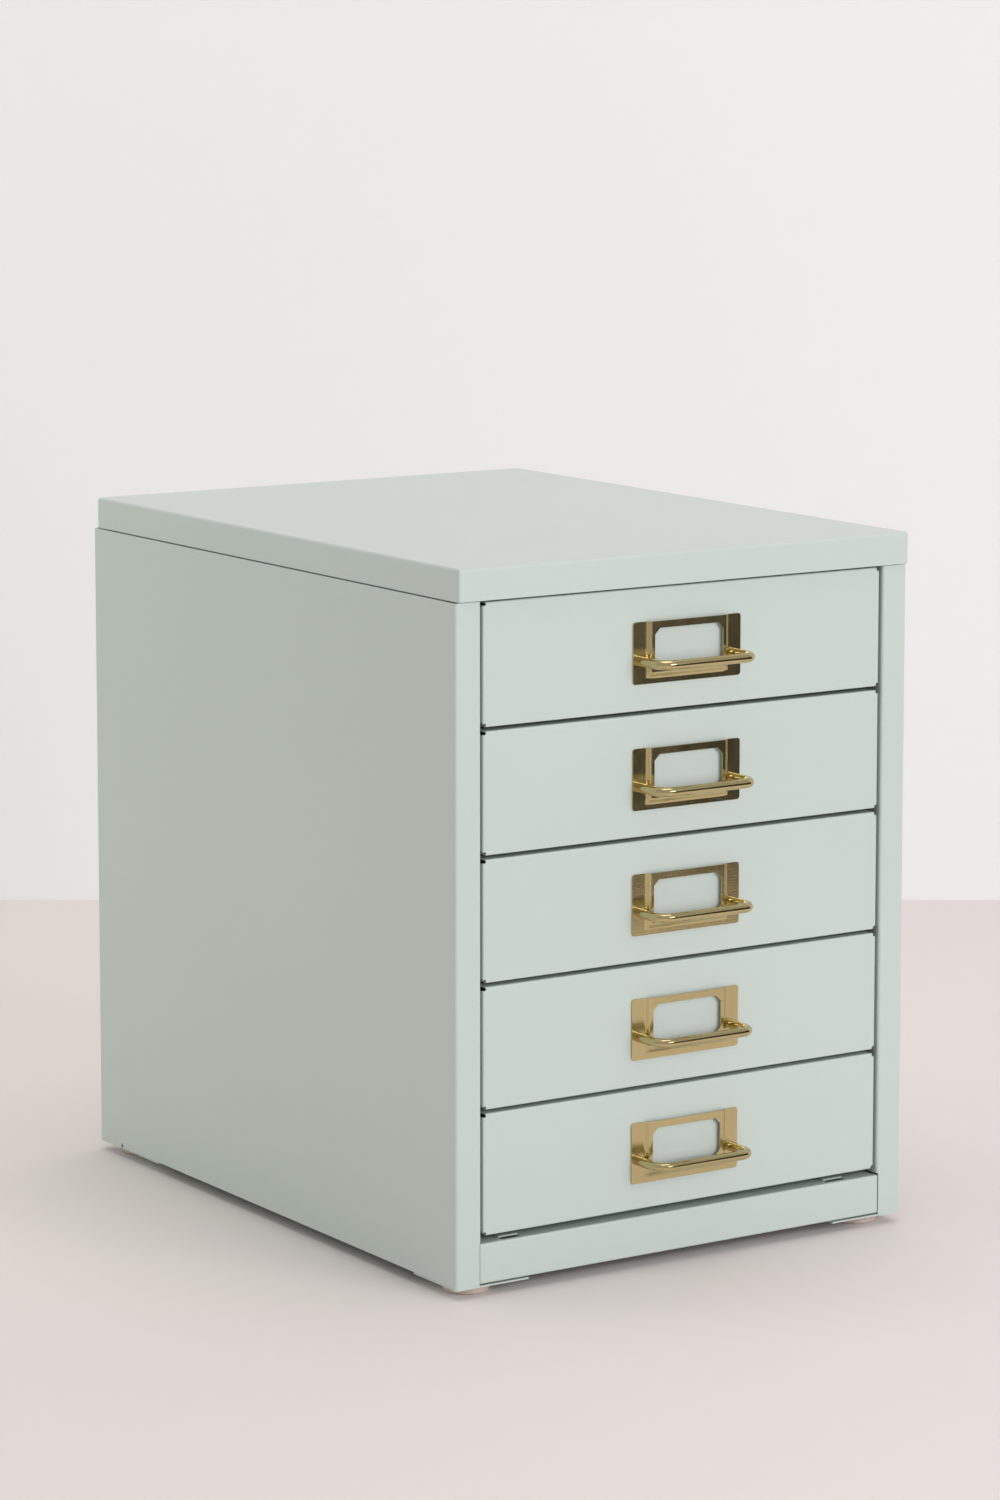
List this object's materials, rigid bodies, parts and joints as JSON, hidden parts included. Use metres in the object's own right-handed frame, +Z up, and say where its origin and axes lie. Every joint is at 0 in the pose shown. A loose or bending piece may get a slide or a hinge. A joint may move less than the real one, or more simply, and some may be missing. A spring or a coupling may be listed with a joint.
{
  "type": "metal drawer cabinet",
  "caption": "Small desktop cabinet of painted folded sheet steel, with a stack of sliding drawers that have brass label-holder pulls, and rubber feet.",
  "frame": {"origin": "on the floor, in the middle of the area that the closed cabinet covers, pulls included", "axes": "+Z up, -Y out of the drawer fronts, +X to the right seen from the front"},
  "size_m": [0.28, 0.3924, 0.3693],
  "materials": {
    "painted_steel": "pale sage powder coat, fine satin texture",
    "brass": "polished, lightly grained",
    "zinc_fasteners": "zinc plated",
    "rubber_feet": "translucent tan bumper rubber"
  },
  "bodies": {
    "cabinet": {"left_side_panel": "painted_steel", "right_side_panel": "painted_steel", "back_panel": "painted_steel", "back_rivets": "zinc_fasteners", "base_panel": "painted_steel", "top_cover": "painted_steel", "front_top_rail": "painted_steel", "rear_top_rail": "painted_steel", "top_screws": "zinc_fasteners", "foot_front_left": "rubber_feet", "foot_front_right": "rubber_feet", "foot_rear_left": "rubber_feet", "foot_rear_right": "rubber_feet", "left_runner_1": "painted_steel", "right_runner_1": "painted_steel", "left_runner_2": "painted_steel", "right_runner_2": "painted_steel", "left_runner_3": "painted_steel", "right_runner_3": "painted_steel", "left_runner_4": "painted_steel", "right_runner_4": "painted_steel", "left_runner_5": "painted_steel", "right_runner_5": "painted_steel"},
    "drawer_1": {"drawer_tray_1": "painted_steel", "drawer_front_1": "painted_steel", "label_plate_1": "brass", "bail_handle_1": "brass", "pull_screws_1": "zinc_fasteners"},
    "drawer_2": {"drawer_tray_2": "painted_steel", "drawer_front_2": "painted_steel", "label_plate_2": "brass", "bail_handle_2": "brass", "pull_screws_2": "zinc_fasteners"},
    "drawer_3": {"drawer_tray_3": "painted_steel", "drawer_front_3": "painted_steel", "label_plate_3": "brass", "bail_handle_3": "brass", "pull_screws_3": "zinc_fasteners"},
    "drawer_4": {"drawer_tray_4": "painted_steel", "drawer_front_4": "painted_steel", "label_plate_4": "brass", "bail_handle_4": "brass", "pull_screws_4": "zinc_fasteners"},
    "drawer_5": {"drawer_tray_5": "painted_steel", "drawer_front_5": "painted_steel", "label_plate_5": "brass", "bail_handle_5": "brass", "pull_screws_5": "zinc_fasteners"}
  },
  "joints": [
    {"name": "drawer_1_slide", "type": "slide", "parent": "cabinet", "child": "drawer_1", "axis": [0, -1, 0], "range_m": [0, 0.28]},
    {"name": "drawer_2_slide", "type": "slide", "parent": "cabinet", "child": "drawer_2", "axis": [0, -1, 0], "range_m": [0, 0.28]},
    {"name": "drawer_3_slide", "type": "slide", "parent": "cabinet", "child": "drawer_3", "axis": [0, -1, 0], "range_m": [0, 0.28]},
    {"name": "drawer_4_slide", "type": "slide", "parent": "cabinet", "child": "drawer_4", "axis": [0, -1, 0], "range_m": [0, 0.28]},
    {"name": "drawer_5_slide", "type": "slide", "parent": "cabinet", "child": "drawer_5", "axis": [0, -1, 0], "range_m": [0, 0.28]}
  ]
}
